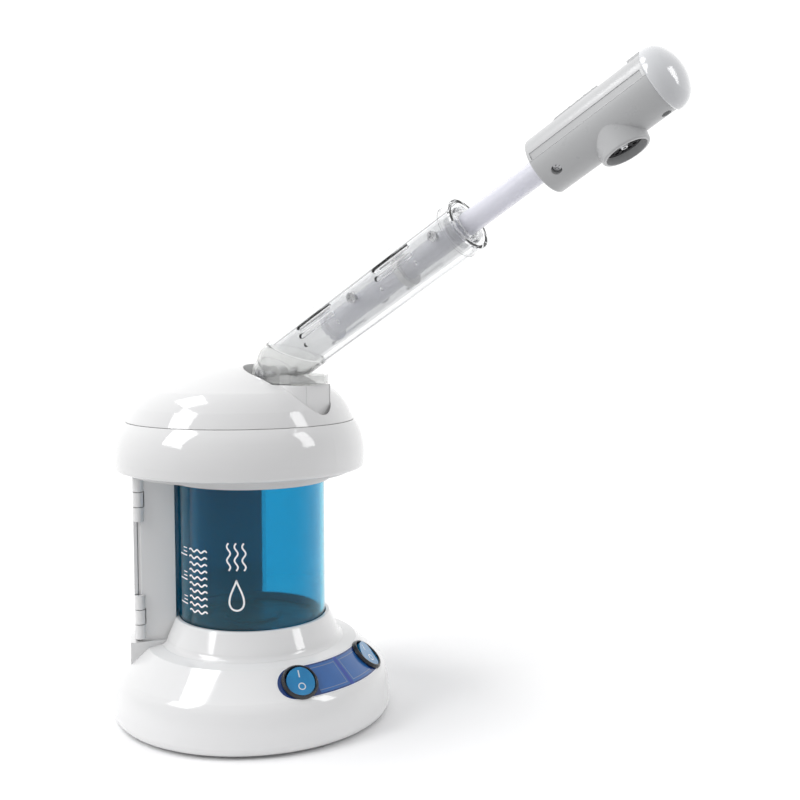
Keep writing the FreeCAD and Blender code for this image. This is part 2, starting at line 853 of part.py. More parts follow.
def lid_crown():
    """The solid below the lid's outer skin near its top, which bounds the seat round the turret."""
    radius = crown_radius(CROWN_REACH, CROWN_TOP - CROWN_FOOT)
    return dome_place(revolved([
        (0.0, 195.0),
        (CROWN_REACH, 195.0),
        (CROWN_REACH, CROWN_FOOT, radius),
        (0.0, CROWN_TOP),
    ]))


DUCT_RADIUS = 7.0
DUCT_FORWARD = 42.0
DUCT_HEIGHT = 173.9


def steam_run(radius, low, high):
    """A pipe that rises from the hood, runs forward and rises again up the turret."""
    return fuse(
        cylinder(radius, DUCT_HEIGHT - low, 0, 0, low),
        sphere(radius, 0, 0, DUCT_HEIGHT),
        cylinder(radius, DUCT_FORWARD, 0, 0, DUCT_HEIGHT, ALONG_X),
        sphere(radius, DUCT_FORWARD, 0, DUCT_HEIGHT),
        cylinder(radius, high - DUCT_HEIGHT, DUCT_FORWARD, 0, DUCT_HEIGHT),
    )


def steam_path():
    """Hood over the tank's mouth and the duct up through the turret."""
    top = DUCT_HEIGHT - DUCT_RADIUS - 0.1
    throat = DUCT_RADIUS - 1.2
    kept("steam_hood", revolved([
        (HOOD_RADIUS - 1.6, HOOD_LOW),
        (HOOD_RADIUS, HOOD_LOW),
        (HOOD_RADIUS, HOOD_LOW + 1.4),
        (DUCT_RADIUS, top),
        (throat, top),
        (throat, top - 1.4),
        (HOOD_RADIUS - 1.6, HOOD_LOW + 0.2),
    ]))
    outside = steam_run(DUCT_RADIUS, top, d.turret_top.value - 0.3)
    inside = steam_run(throat, top - 1.0, d.turret_top.value + 1.0)
    kept("steam_duct", cut(outside, inside))


def ozone_lamp():
    back = -65.0
    face = -53.2
    holder = cut(
        middle_box(face - back, 22.0, 8.2, (face + back) / 2, 0, d.rim_bottom),
        cylinder(4.0, 20.0, -60.0, 0, 140.0),
    )
    kept("lamp_holder", holder)
    end = -8.9
    legs = [cylinder(2.2, end - face, face, y, LAMP_HEIGHT, ALONG_X) for y in LAMP_LEGS]
    corners = [sphere(2.2, end, y, LAMP_HEIGHT) for y in LAMP_LEGS]
    bridge = cylinder(2.2, 8.0, end, -4.0, LAMP_HEIGHT, ALONG_Y)
    kept("ozone_lamp", fuse(*legs, *corners, bridge))


# ---------------------------------------------------------------- arm


def mitre(keep_above, gap):
    """A block that covers everything on one side of the slanted cut between elbow and tube."""
    block = box(90.0, 90.0, 90.0)
    angle = Rotation(Vector(0, 1, 0), -math.degrees(math.atan(0.95)))
    shift = gap if keep_above else -gap - 90.0
    corner = angle.multVec(Vector(-45.0, -45.0, shift))
    put(block, corner.x, corner.y, d.mitre_start + corner.z, angle)
    return block


def world_arm_cylinder(radius, low, high):
    """A cylinder along the arm's axis between two stations, in the object's frame."""
    turn = arm_turn()
    start = turn.multVec(Vector(0, 0, low))
    return cylinder(radius, high - low, start.x, start.y, d.arm_height + start.z, turn)


def elbow_solid(inset):
    """Outer form of the elbow, moved inwards by inset: upright foot, rounded back, slanted top."""
    radius = d.tube_radius - inset
    low = d.elbow_bottom - 8.0
    knee = arm_turn().multVec(Vector(0, 0, 30.0))
    return fuse(
        turret_plan(radius - 0.4, d.pivot_height - low, low),
        sphere(radius - 0.7, d.turret_back, 0, d.pivot_height - 0.4),
        sphere(radius - 0.1, knee.x, 0, d.arm_height + knee.z),
        world_arm_cylinder(radius, 30.0, 72.0),
    )


def elbow():
    solid = cut(elbow_solid(0), elbow_solid(2.0))
    upper = mitre(True, -0.1)
    turned = arm_turn()
    corner = turned.multVec(upper.Placement.Base)
    put(upper, corner.x, corner.y, corner.z + d.arm_height.value, turned * upper.Placement.Rotation)
    below = box(120.0, 80.0, 40.0, -30.0, -40.0, d.elbow_bottom - 40.0)
    pin = cylinder(d.pin_radius, 60.0, d.pivot_forward, -30.0, d.pivot_height, ALONG_Y)
    kept("elbow", cut(solid, upper, below, pin))


def pivot_screw():
    shank = cylinder(d.pin_radius, 30.6, d.pivot_forward, -15.2, d.pivot_height, ALONG_Y)
    head = cylinder(3.3, 1.8, d.pivot_forward, -16.8, d.pivot_height, ALONG_Y)
    nut = cylinder(3.2, 1.8, d.pivot_forward, 15.0, d.pivot_height, ALONG_Y)
    slots = [
        middle_box(4.2, 1.0, 0.9, d.pivot_forward, -16.6, d.pivot_height - 0.45),
        middle_box(0.9, 1.0, 4.2, d.pivot_forward, -16.6, d.pivot_height - 2.1),
    ]
    kept("pivot_screw", cut(fuse(shank, head, nut), *slots))


TUBE_SLOTS = ((61.0, 89.0), (123.0, 150.0))
SLOT_ANGLES = (68.0, 90.0, 112.0)
TUBE_SCREWS = (105.2, 166.6)


def spoke_point(radius, angle):
    """A point at a radius round the arm's axis; angle 0 is the top of the arm, 90 its right side."""
    turn = math.radians(angle)
    return -float(radius) * math.cos(turn), -float(radius) * math.sin(turn)


def spoke_turn(angle):
    """Turns local Z outwards along a spoke of the arm."""
    x, y = spoke_point(1.0, angle)
    return Rotation(Vector(0, 0, 1), math.degrees(math.atan2(y, x))) * ALONG_X


def tube_slot(angle, low, high):
    """A round-ended slot through the tube's wall, lengthways."""
    half = 1.4
    x, y = spoke_point(9.0, angle)
    turn = spoke_turn(angle)
    ends = [cylinder(half, 9.0, x, y, station, turn) for station in (low + half, high - half)]
    side = turn.multVec(Vector(0, -half, 0))
    middle = box(high - low - 2 * half, 2 * half, 9.0)
    put(middle, x + side.x, y + side.y, high - half, turn)
    return fuse(*ends, middle)


def tube_shell(name, side):
    """One half of the clear outer tube; side is -1 for the right half and 1 for the left half."""
    bore = d.tube_radius - d.tube_wall
    whole = cylinder(d.tube_radius, 170.0, z=d.tube_end - 170.0)
    hollow = cylinder(bore, 200.0, z=0.0)
    half_low = sized(0.04) if side > 0 else sized(-40.04)
    half = box(80.0, 40.0, 300.0, -40.0, half_low, -20.0)
    slots = []
    for low, high in TUBE_SLOTS:
        for angle in SLOT_ANGLES:
            slots.append(tube_slot(-side * angle, low, high))
    screw_angle = -side * 90.0
    holes = []
    for station in TUBE_SCREWS:
        x, y = spoke_point(8.0, screw_angle)
        holes.append(cylinder(1.6, 12.0, x, y, station, spoke_turn(screw_angle)))
    groove = ring(d.tube_radius - 0.35, d.tube_radius + 1.0, d.tube_end - 8.0, d.tube_end - 6.8)
    shell = cut(whole, hollow, mitre(False, 0.1), *slots, *holes, groove)
    on_arm(kept(name, common(shell, half)))


def tube_screws():
    screws = []
    for side in (-1, 1):
        angle = -side * 90.0
        for station in TUBE_SCREWS:
            x, y = spoke_point(float(d.tube_radius) + 0.1, angle)
            screws.append(pan_screw(2.9, 1.5, 3.4, x, y, station, spoke_turn(angle)))
    on_arm(kept("tube_screws", group(*screws)))


def guide_sleeve():
    """Clear sleeve that the stop flange slides in, with bosses for the side screws."""
    bore = 9.6
    wall = cut(cylinder(bore + 1.4, 148.0, z=30.0), mitre(False, 0.1))
    bosses = []
    for side in (-1, 1):
        for station in TUBE_SCREWS:
            x, y = spoke_point(10.2, -side * 90.0)
            bosses.append(cylinder(3.2, 2.6, x, y, station, spoke_turn(-side * 90.0)))
    hollow = cylinder(bore, 180.0, z=10.0)
    pilots = []
    for side in (-1, 1):
        for station in TUBE_SCREWS:
            x, y = spoke_point(11.3, -side * 90.0)
            pilots.append(cylinder(1.5, 4.0, x, y, station, spoke_turn(-side * 90.0)))
    on_arm(kept("guide_sleeve", cut(fuse(wall, *bosses), hollow, *pilots)))


def guide_rings():
    bore = d.inner_radius + 0.1
    kept("guide_ring", on_arm(ring(bore, 9.6, 133.0, 136.5)))
    collar = revolved([
        (bore, 172.0),
        (9.6, 172.0),
        (9.6, 178.0),
        (12.8, 178.0),
        (12.8, d.tube_end - 1.0),
        (10.6, d.tube_end - 1.0),
        (10.2, d.tube_end + 0.4),
        (8.2, d.tube_end + 0.4),
        (7.8, d.tube_end - 0.8),
        (bore, d.tube_end - 0.8),
    ])
    kept("end_collar", on_arm(collar))


def inner_tube():
    """Telescoping tube with a notched stop flange at its lower end and a groove ring for the head."""
    wall = 1.2
    low = d.inner_low
    high = d.head_low + 8.0
    body = revolved([
        (d.inner_radius - wall, low),
        (9.3, low),
        (9.3, low + 2.6),
        (d.inner_radius, low + 3.4),
        (d.inner_radius, high),
        (d.inner_radius - wall, high),
    ])
    notches = []
    for step in range(8):
        turn = Rotation(Vector(0, 0, 1), step * 45.0)
        corner = turn.multVec(Vector(8.2, -0.8, 0))
        notches.append(box(3.0, 1.6, 1.6, corner.x, corner.y, low - 0.2, turn))
    on_arm(kept("inner_tube", cut(body, *notches)))


def swivel_ring():
    low = d.head_low + 8.0
    kept("swivel_ring", on_arm(revolved([
        (5.0, low),
        (8.6, low),
        (8.6, low + 3.0),
        (5.0, low + 3.0),
    ])))


# ---------------------------------------------------------------- nozzle head

RECESS = (243.6, 291.6)
SLIDER = (244.8, 274.0)
PORT_STATION = 253.0


def head_hollow():
    """Room inside the head: neck for the tube, groove for the swivel ring, steam chamber."""
    neck = cylinder(d.inner_radius + 0.35, 30.0, z=d.head_low - 1.0)
    groove = cylinder(9.0, 3.8, z=d.head_low + 7.6)
    chamber = cylinder(d.head_radius - d.head_wall, 50.0, z=d.head_low + 14.0)
    roof = box(6.0, 30.0, 80.0, -16.0, -15.0, 229.0)
    return fuse(neck, groove, cut(chamber, roof))


def aroma_port():
    return cylinder(3.4, 14.0, -16.0, 0, PORT_STATION, ALONG_X)


def head_shell(name, upper):
    low = d.head_low
    body = revolved([
        (0.0, low),
        (d.head_radius - 1.2, low, 1.3),
        (d.head_radius, low + 1.2),
        (d.head_radius, d.head_high),
        (0.0, d.head_high),
    ])
    if upper:
        half = box(40.0, 80.0, 120.0, -40.04, -40.0, 200.0)
        recess = fuse(
            box(6.0, 13.0, RECESS[1] - RECESS[0] - 6.5, -19.2, -6.5, RECESS[0] + 6.5),
            cylinder(6.5, 6.0, -19.2, 0, RECESS[0] + 6.5, ALONG_X),
        )
        block = cut(
            common(cylinder(d.head_radius + 1.0, 6.6, z=291.4), middle_box(12.0, 13.6, 20.0, -13.0, 0, 290.0)),
            cylinder(8.0, 30.0, z=280.0),
        )
        ledge = []
        for side in (-1, 1):
            ledge.append(middle_box(3.6, 2.0, 64.0, -2.3, side * 15.3, low + 2.0))
        shell = cut(common(body, half), head_hollow(), recess, aroma_port(), *ledge)
        on_arm(kept(name, fuse(shell, block)))
        return
    half = box(40.0, 80.0, 120.0, 0.04, -40.0, 200.0)
    boss = outlet_boss()
    bore = cylinder(d.outlet_radius - 1.6, 30.0, 4.0, 0, d.outlet_station, ALONG_X)
    holes = [
        cylinder(2.6, 8.0, *screw_seat(130.0), 240.0, spoke_turn(130.0)),
        cylinder(2.6, 8.0, *screw_seat(-130.0), 240.0, spoke_turn(-130.0)),
        cylinder(2.4, 8.0, *screw_seat(180.0), 294.0, spoke_turn(180.0)),
    ]
    pegs = [cylinder(1.3, 24.0, *spoke_point(2.0, a), z, spoke_turn(a)) for a, z in HEAD_SCREWS]
    seats = [cylinder(3.9, 4.6, *spoke_point(9.0, a), z, spoke_turn(a)) for a, z in HEAD_SCREWS]
    shell = cut(fuse(common(body, half), boss), head_hollow())
    on_arm(kept(name, cut(fuse(shell, *seats), bore, *holes, *pegs)))


HEAD_SCREWS = ((130.0, 240.0), (-130.0, 240.0), (180.0, 294.0))


def screw_seat(angle):
    return spoke_point(10.4, angle)


def outlet_boss():
    """Short flared ring that the steam leaves through."""
    collar = cone(13.4, d.outlet_radius, 13.0, 6.0, 0, d.outlet_station, ALONG_X)
    return rounded(collar, 1.0, lambda edge: abs(edge.BoundBox.XMin - 19.0) < 0.1)


def outlet_parts():
    """Black grille set back in the outlet and the jet in its middle."""
    disc = cylinder(d.outlet_radius - 1.7, 1.6, 13.4, 0, d.outlet_station, ALONG_X)
    slots = []
    for ring_radius in (4.6, 7.4):
        count = 8 if ring_radius < 6 else 14
        for step in range(count):
            y, z = polar(ring_radius, step * 360.0 / count)
            slots.append(cylinder(1.05, 6.0, 10.0, y, d.outlet_station + z, ALONG_X))
    centre = cylinder(2.6, 6.0, 10.0, 0, d.outlet_station, ALONG_X)
    on_arm(kept("outlet_grille", cut(disc, centre, *slots)))
    jet = cut(
        fuse(
            cylinder(2.5, 2.6, 12.6, 0, d.outlet_station, ALONG_X),
            cone(2.5, 1.6, 1.4, 15.2, 0, d.outlet_station, ALONG_X),
        ),
        cylinder(0.9, 8.0, 10.0, 0, d.outlet_station, ALONG_X),
    )
    on_arm(kept("jet_nozzle", jet))


def head_screws():
    screws = []
    for angle, station in HEAD_SCREWS:
        screws.append(pan_screw(2.2, 1.2, 1.3, *screw_seat(angle), station, spoke_turn(angle)))
    on_arm(kept("head_screws", group(*screws)))


def head_cap():
    """Glossy domed end cap with a lip wider than the head."""
    high = d.head_high + 0.1
    outline = [
        (0.0, high),
        (15.4, high),
        (16.2, high + 0.8),
        (16.2, high + 1.6, 9.0),
        (12.4, high + 8.6, crown_radius(12.4, 3.6)),
        (0.0, high + 12.2),
    ]
    on_arm(kept("head_cap", revolved(outline)))


def aroma_slider():
    """Ribbed cover that slides along the recess over the aroma port."""
    low, high = SLIDER
    plate = fuse(
        box(1.1, 12.0, high - low - 6.0, -14.5, -6.0, low + 6.0),
        cylinder(6.0, 1.1, -14.5, 0, low + 6.0, ALONG_X),
    )
    ribs = []
    for step in range(4):
        ribs.append(middle_box(1.2, 8.4, 1.3, -14.9, 0, low + 11.6 + step * 4.6))
    on_arm(kept("aroma_slider", fuse(plate, *ribs)))
    on_arm(kept("aroma_pad", cylinder(3.3, 2.0, -12.9, 0, PORT_STATION, ALONG_X)))


# ---------------------------------------------------------------- the whole steamer


def build():
    base_shell()
    bottom_cover()
    rubber_feet()
    bottom_screws()
    tank_collar()
    boiler()
    tank()
    electronics()
    power_inlet()
    control_panel()
    for name, side in SWITCH_SIDES.items():
        azimuth = side * d.switch_azimuth.value
        switch_body(f"{name}_switch_body", azimuth)
        rocker(f"{name}_rocker", azimuth)
    column_frame()
    column_door()
    door_hinge_pins()
    lamp_wire_sleeve()
    under_plate()
    dome_rim()
    dome_lid()
    turret()
    steam_path()
    ozone_lamp()
    elbow()
    pivot_screw()
    tube_shell("tube_shell_right", -1)
    tube_shell("tube_shell_left", 1)
    tube_screws()
    guide_sleeve()
    guide_rings()
    inner_tube()
    swivel_ring()
    head_shell("head_shell_upper", True)
    head_shell("head_shell_lower", False)
    outlet_parts()
    head_screws()
    head_cap()
    aroma_slider()
    for part in parts:
        settle(part)
    doc.recompute()


def settle(part):
    """Lowers a finished piece so that the underside of the base lies at height zero."""
    height = f"({part.Placement.Base.z})"
    for name, text in part.ExpressionEngine:
        if name.endswith("Placement.Base.z"):
            height = text
    part.Placement.Base.z = part.Placement.Base.z - d.underside.value
    part.setExpression("Placement.Base.z", f"{height} - {d.underside.text}")


def check():
    """Stops the build if any object failed or any sub-part has no sound shape."""
    failed = [f"{obj.Name} ({obj.Label})" for obj in doc.Objects if {"Invalid", "Error"} & set(obj.State)]
    failed += [part.Label for part in parts if part.Shape.isNull() or not part.Shape.isValid()]
    if failed:
        raise RuntimeError(f"these have no sound shape: {failed}")


def write():
    os.makedirs("parts", exist_ok=True)
    for part in parts:
        part.Shape.exportStep(f"parts/{part.Label}.step")
        size = part.Shape.optimalBoundingBox()
        print(f"{part.Label}: {len(part.Shape.Solids)} solid(s), volume {part.Shape.Volume:.0f}, "
              f"x {size.XMin:.1f}..{size.XMax:.1f} y {size.YMin:.1f}..{size.YMax:.1f} "
              f"z {size.ZMin:.1f}..{size.ZMax:.1f}")


build()
check()
write()
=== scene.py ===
import math

import bmesh
import bpy
from mathutils import Matrix, Vector


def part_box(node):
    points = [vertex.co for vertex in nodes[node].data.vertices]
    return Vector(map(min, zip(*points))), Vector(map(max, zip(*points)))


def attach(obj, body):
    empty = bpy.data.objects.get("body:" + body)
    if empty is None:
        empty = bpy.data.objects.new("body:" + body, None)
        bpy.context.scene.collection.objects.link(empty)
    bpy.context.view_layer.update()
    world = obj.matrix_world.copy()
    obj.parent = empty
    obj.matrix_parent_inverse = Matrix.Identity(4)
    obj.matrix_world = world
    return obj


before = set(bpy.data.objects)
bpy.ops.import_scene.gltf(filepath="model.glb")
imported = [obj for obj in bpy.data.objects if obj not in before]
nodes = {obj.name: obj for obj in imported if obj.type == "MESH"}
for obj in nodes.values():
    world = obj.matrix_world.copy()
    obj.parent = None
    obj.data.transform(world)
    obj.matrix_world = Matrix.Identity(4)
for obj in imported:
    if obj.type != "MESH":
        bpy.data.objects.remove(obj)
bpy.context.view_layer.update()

scene = bpy.context.scene
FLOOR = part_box("rubber_feet")[0].z

# ---------------------------------------------------------------- camera and picture

LENS_MM = 47.475
SENSOR_MM = 36.0
CAMERA_PLACE = Vector((0.4507, -0.4655, 0.2404 + FLOOR))
CAMERA_AIM = Vector((-0.5861, 0.8066, -0.0767))
EXPOSURE = 0.24
CLEAR_BOUNCES = 20
SEE_THROUGH_BOUNCES = 16

camera_data = bpy.data.cameras.new("camera")
camera_data.lens = LENS_MM
camera_data.sensor_width = SENSOR_MM
camera = bpy.data.objects.new("camera", camera_data)
scene.collection.objects.link(camera)
camera.location = CAMERA_PLACE
camera.rotation_mode = "QUATERNION"
camera.rotation_quaternion = CAMERA_AIM.to_track_quat("-Z", "Y")
scene.camera = camera
scene.view_settings.view_transform = "Standard"
scene.view_settings.exposure = EXPOSURE
scene.cycles.max_bounces = CLEAR_BOUNCES
scene.cycles.transmission_bounces = CLEAR_BOUNCES
scene.cycles.transparent_max_bounces = SEE_THROUGH_BOUNCES

# ---------------------------------------------------------------- material helpers


class Shade:
    """A procedural material under construction."""

    def __init__(self, name, **sockets):
        self.material = bpy.data.materials.new(name)
        self.material.use_nodes = True
        self.tree = self.material.node_tree
        self.shader = next(n for n in self.tree.nodes if n.type == "BSDF_PRINCIPLED")
        self.coords = self.tree.nodes.new("ShaderNodeTexCoord").outputs["Object"]
        for key, value in sockets.items():
            self.set(key, value)

    def set(self, key, value):
        socket = self.shader.inputs[key.replace("_", " ")]
        if isinstance(value, bpy.types.NodeSocket):
            self.tree.links.new(value, socket)
        elif isinstance(value, tuple) and len(value) == 3 and len(socket.default_value) == 4:
            socket.default_value = (*value, 1.0)
        else:
            socket.default_value = value
        return self

    def node(self, kind, **inputs):
        """Adds a node; its inputs are numbers or other nodes' outputs."""
        made = self.tree.nodes.new(kind)
        for key, value in inputs.items():
            name = key.replace("_", " ")
            if isinstance(value, bpy.types.NodeSocket):
                self.tree.links.new(value, made.inputs[name])
            else:
                made.inputs[name].default_value = value
        return made

    def math(self, operation, *values):
        made = self.tree.nodes.new("ShaderNodeMath")
        made.operation = operation
        for index, value in enumerate(values):
            if isinstance(value, bpy.types.NodeSocket):
                self.tree.links.new(value, made.inputs[index])
            else:
                made.inputs[index].default_value = value
        return made.outputs[0]

    def length(self, first, second):
        """Length of a plane vector with these two parts."""
        squares = [self.math("MULTIPLY", part, part) for part in (first, second)]
        return self.math("SQRT", self.math("ADD", *squares))

    def vector_math(self, operation, vector, other, output):
        made = self.tree.nodes.new("ShaderNodeVectorMath")
        made.operation = operation
        self.tree.links.new(vector, made.inputs[0])
        made.inputs[1].default_value = other
        return made.outputs[output]

    def dot(self, vector, direction):
        return self.vector_math("DOT_PRODUCT", vector, direction, "Value")

    def minus(self, vector, point):
        return self.vector_math("SUBTRACT", vector, point, "Vector")

    def distance(self, vector, point):
        return self.vector_math("DISTANCE", vector, point, "Value")

    def noise(self, scale, detail=2.0, stretch=None):
        vector = self.coords
        if stretch:
            made = self.node("ShaderNodeMapping", Vector=vector, Scale=stretch)
            vector = made.outputs["Vector"]
        made = self.node("ShaderNodeTexNoise", Vector=vector, Scale=scale, Detail=detail)
        return made.outputs["Fac"]

    def ramp(self, value, start, end):
        """Maps a value of 0.3 to 0.7, the usual reach of noise, to start and end."""
        return self.fade(value, 0.3, 0.7, start, end)

    def fade(self, value, low, high, start, end):
        """Maps a value of low to high, and no further, to start and end."""
        made = self.tree.nodes.new("ShaderNodeMapRange")
        self.tree.links.new(value, made.inputs[0])
        for index, number in enumerate((low, high, start, end), 1):
            made.inputs[index].default_value = number
        return made.outputs[0]

    def mix(self, factor, first, second):
        """Colour that goes from first to second as the factor goes from 0 to 1."""
        made = self.tree.nodes.new("ShaderNodeMix")
        made.data_type = "RGBA"
        self.tree.links.new(factor, made.inputs[0])
        for socket, value in ((made.inputs[6], first), (made.inputs[7], second)):
            if isinstance(value, bpy.types.NodeSocket):
                self.tree.links.new(value, socket)
            else:
                socket.default_value = (*value, 1.0)
        return made.outputs[2]

    def varied(self, first, second, scale=9.0):
        """Base colour that drifts between two close tones."""
        drift = self.ramp(self.noise(scale, 3.0), 0.0, 1.0)
        return self.set("Base_Color", self.mix(drift, first, second))

    def worn(self, start, end, scale=140.0):
        """Roughness that changes over the surface like handling marks."""
        return self.set("Roughness", self.ramp(self.noise(scale, 4.0), start, end))

    def bumpy(self, scale, strength, distance, stretch=None):
        """Fine relief that the light picks out."""
        height = self.noise(scale, 3.0, stretch)
        made = self.node("ShaderNodeBump", Height=height, Strength=strength, Distance=distance)
        self.set("Normal", made.outputs["Normal"])
        return self

    def rounded(self, radius):
        """Softens the look of hard edges, under the bumps that are there already."""
        made = self.node("ShaderNodeBevel", Radius=radius)
        made.samples = 4
        for link in list(self.tree.links):
            if link.to_node == self.shader and link.to_socket.name == "Normal":
                self.tree.links.new(made.outputs["Normal"], link.from_node.inputs["Normal"])
                return self
        return self.set("Normal", made.outputs["Normal"])


def finish_nodes(shade, *names):
    """Gives the named CAD nodes this material."""
    for name in names:
        materials = nodes[name].data.materials
        materials.clear()
        materials.append(shade.material)


# ---------------------------------------------------------------- materials

white = Shade("white_abs", IOR=1.5, Coat_Weight=0.35, Coat_Roughness=0.04)
white.varied((0.725, 0.725, 0.725), (0.75, 0.75, 0.752))
white.worn(0.05, 0.11).bumpy(260.0, 0.03, 0.00005).rounded(0.0004)
finish_nodes(
    white, "base_shell", "tank_collar", "dome_rim", "dome_lid", "turret", "under_plate",
    "column_frame", "column_door", "steam_hood", "guide_ring", "swivel_ring",
)

underside = Shade("white_abs_moulded", IOR=1.5)
underside.varied((0.66, 0.665, 0.68), (0.70, 0.705, 0.715))
underside.worn(0.38, 0.52).bumpy(2600.0, 0.25, 0.0001).rounded(0.0003)
finish_nodes(underside, "bottom_cover")

grey = Shade("head_grey", IOR=1.5, Coat_Weight=0.15, Coat_Roughness=0.12)
grey.varied((0.49, 0.495, 0.50), (0.53, 0.535, 0.54))
grey.worn(0.26, 0.38).bumpy(1500.0, 0.08, 0.00005).rounded(0.0003)
finish_nodes(grey, "head_shell_upper", "head_shell_lower", "aroma_slider")

gloss_grey = Shade("head_cap_gloss", IOR=1.5, Coat_Weight=0.6, Coat_Roughness=0.03)
gloss_grey.varied((0.66, 0.67, 0.69), (0.70, 0.71, 0.725))
gloss_grey.worn(0.10, 0.18).bumpy(900.0, 0.04, 0.00005).rounded(0.0003)
finish_nodes(gloss_grey, "head_cap")

clear = Shade("clear_plastic", IOR=1.30, Transmission_Weight=1.0)
clear.varied((0.965, 0.97, 0.975), (0.985, 0.99, 0.99), 30.0)
clear.worn(0.01, 0.05, 90.0).bumpy(60.0, 0.008, 0.0002)
finish_nodes(clear, "tube_shell_left", "tube_shell_right", "end_collar")

milky = Shade("clear_elbow", IOR=1.30, Transmission_Weight=0.80)
milky.varied((0.90, 0.905, 0.90), (0.94, 0.945, 0.94), 30.0)
milky.worn(0.06, 0.14, 90.0).bumpy(120.0, 0.05, 0.0003)
finish_nodes(milky, "elbow")

frosted = Shade("clear_sleeve", IOR=1.25, Alpha=0.26)
frosted.varied((0.80, 0.805, 0.815), (0.87, 0.875, 0.885), 30.0)
frosted.worn(0.16, 0.28, 60.0).bumpy(160.0, 0.06, 0.0003)
finish_nodes(frosted, "guide_sleeve")

lavender = Shade("lavender_tube", IOR=1.25, Alpha=0.55, Coat_Weight=0.3, Coat_Roughness=0.08)
lavender.varied((0.86, 0.86, 0.93), (0.90, 0.90, 0.96), 20.0)
lavender.worn(0.22, 0.34, 60.0).bumpy(500.0, 0.05, 0.0001, (1.0, 1.0, 0.2))
finish_nodes(lavender, "inner_tube")

blue = Shade("tank_blue", IOR=1.38, Transmission_Weight=0.96, Coat_Weight=0.25, Coat_Roughness=0.02)
blue.varied((0.006, 0.49, 0.70), (0.010, 0.53, 0.74), 14.0)
blue.worn(0.02, 0.06, 60.0).bumpy(70.0, 0.03, 0.0004)
finish_nodes(blue, "tank")

black = Shade("black_plastic", IOR=1.5, Coat_Weight=0.3, Coat_Roughness=0.1)
black.varied((0.008, 0.008, 0.010), (0.016, 0.016, 0.018), 60.0)
black.worn(0.22, 0.40).bumpy(1800.0, 0.15, 0.00005).rounded(0.0003)
finish_nodes(black, "power_switch_body", "ozone_switch_body", "power_inlet", "outlet_grille")

rubber = Shade("foot_rubber", IOR=1.45)
rubber.varied((0.018, 0.018, 0.018), (0.035, 0.034, 0.033), 90.0)
rubber.worn(0.65, 0.85).bumpy(1500.0, 0.4, 0.0001)
finish_nodes(rubber, "rubber_feet")

silicone = Shade("silicone", IOR=1.42, Subsurface_Weight=0.2, Subsurface_Radius=(0.002, 0.002, 0.002))
silicone.varied((0.70, 0.70, 0.68), (0.78, 0.78, 0.76), 80.0)
silicone.worn(0.45, 0.60).bumpy(700.0, 0.2, 0.0001)
finish_nodes(silicone, "tank_foot_seal", "tank_mouth_seal", "lid_seal", "steam_duct", "lamp_wire_sleeve")

steel = Shade("screw_steel", Metallic=1.0)
steel.varied((0.55, 0.555, 0.57), (0.72, 0.72, 0.73), 700.0)
steel.worn(0.18, 0.36, 900.0).bumpy(2500.0, 0.2, 0.00005).rounded(0.00015)
finish_nodes(
    steel, "pivot_screw", "tube_screws", "head_screws", "bottom_screws", "door_hinge_pins",
    "jet_nozzle", "heating_element",
)

heater = Shade("heater_coating", Metallic=0.55)
heater.varied((0.030, 0.034, 0.050), (0.050, 0.055, 0.075), 40.0)
heater.worn(0.30, 0.50, 120.0).bumpy(600.0, 0.15, 0.0001)
finish_nodes(heater, "heating_plate")

board = Shade("board_green", IOR=1.5)
board.varied((0.010, 0.11, 0.035), (0.020, 0.17, 0.055), 250.0)
board.worn(0.30, 0.50, 300.0).bumpy(900.0, 0.3, 0.0001)
finish_nodes(board, "control_board")

case = Shade("grey_case", IOR=1.5)
case.varied((0.055, 0.057, 0.062), (0.085, 0.087, 0.092), 60.0)
case.worn(0.40, 0.60).bumpy(1600.0, 0.3, 0.0001)
finish_nodes(case, "thermostat", "thermal_fuse", "ozone_driver", "lamp_holder")

brass = Shade("pin_brass", Metallic=1.0)
brass.varied((0.62, 0.47, 0.20), (0.75, 0.60, 0.30), 500.0)
brass.worn(0.16, 0.32, 700.0).bumpy(2500.0, 0.2, 0.00005)
finish_nodes(brass, "inlet_pins")

lamp = Shade("lamp_glass", IOR=1.47, Transmission_Weight=1.0)
lamp.varied((0.90, 0.92, 0.97), (0.95, 0.96, 0.99), 60.0)
lamp.worn(0.01, 0.05, 90.0).bumpy(300.0, 0.05, 0.0001)
finish_nodes(lamp, "ozone_lamp")

felt = Shade("felt_pad", Sheen_Weight=0.5, Sheen_Roughness=0.5)
felt.varied((0.72, 0.70, 0.64), (0.82, 0.80, 0.75), 1200.0)
felt.worn(0.85, 0.98).bumpy(3200.0, 0.8, 0.0002)
finish_nodes(felt, "aroma_pad")

ink = Shade("white_ink", IOR=1.45)
ink.varied((0.80, 0.83, 0.85), (0.88, 0.90, 0.91), 300.0)
ink.worn(0.35, 0.5).bumpy(2500.0, 0.15, 0.00003)

# ---------------------------------------------------------------- printed panel

# The straight slope of the base that the panel lies on, at its lower and upper ends.
SLOPE_LOW = Vector((0.0795, 0.0, 0.0272))
SLOPE_HIGH = Vector((0.0635, 0.0, 0.0412))
MIDDLE = (SLOPE_LOW + SLOPE_HIGH) / 2
UPHILL = (SLOPE_HIGH - SLOPE_LOW).normalized()
SWITCH_AZIMUTH = math.radians(25.0)
PANEL_HALF = math.radians(27.5)

PRINT_SOFT = 0.00008
BAND_START = 0.0090
RIM_START = 0.0099
DIVIDER_HALF = 0.0014
BOX_HALF_HEIGHT = 0.0072
BOX_LIMIT = 0.0075
BOX_INNER_SIDE = 0.0026
BOX_INNER_LIMIT = 0.0024
BOX_OUTER_LIMIT = 0.0215
LINE_HALF = 0.00022

